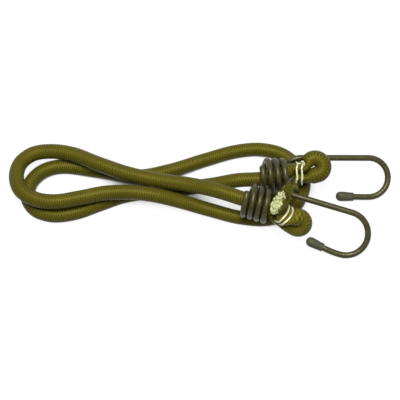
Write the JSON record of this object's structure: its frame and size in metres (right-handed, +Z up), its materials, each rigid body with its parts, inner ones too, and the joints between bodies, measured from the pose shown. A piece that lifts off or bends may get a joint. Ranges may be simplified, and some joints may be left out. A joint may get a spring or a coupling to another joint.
{
  "type": "bungee cord",
  "caption": "Braided elastic cord folded into a hank, with a coiled wire hook and a capped tip on each end, each end turned back in an eye under a wire clip; it straps loads down",
  "frame": {"origin": "centre of the whole hank's bounding box in X and Y, on the floor it lies on", "axes": "+X along the hank from its folded loops to the hooks, +Z up off the floor, +Y across to the upper hook's side"},
  "size_m": [0.2136, 0.0728, 0.0297],
  "materials": {
    "sheath": "olive green braid of fine synthetic thread, slightly glossy",
    "core_rubber": "pale natural rubber, matt",
    "hook_wire": "olive drab coating on round steel wire, satin",
    "tip_cap": "soft olive drab plastic, matt",
    "clip_wire": "pale yellowish plated wire, bright"
  },
  "bodies": {
    "cord": {"cord_sheath": "sheath", "core_thread_1": "core_rubber", "core_thread_2": "core_rubber", "core_thread_3": "core_rubber", "core_thread_4": "core_rubber", "core_thread_5": "core_rubber", "core_thread_6": "core_rubber", "core_thread_7": "core_rubber", "core_thread_8": "core_rubber", "core_thread_9": "core_rubber", "upper_clip": "clip_wire", "lower_clip": "clip_wire"},
    "upper_hook": {"upper_hook_wire": "hook_wire", "upper_tip_cap": "tip_cap"},
    "lower_hook": {"lower_hook_wire": "hook_wire", "lower_tip_cap": "tip_cap"}
  },
  "joints": [
    {"name": "upper_hook_swivel", "type": "hinge", "parent": "cord", "child": "upper_hook", "pos_m": [0.0337, 0.007, 0.015], "axis": [-0.9972, -0.0366, 0.0645], "range_deg": [0, 30]},
    {"name": "lower_hook_swivel", "type": "hinge", "parent": "cord", "child": "lower_hook", "pos_m": [0.02456, -0.01106, 0.01988], "axis": [-0.9584, 0.2604, 0.1167], "range_deg": [0, 30]}
  ]
}
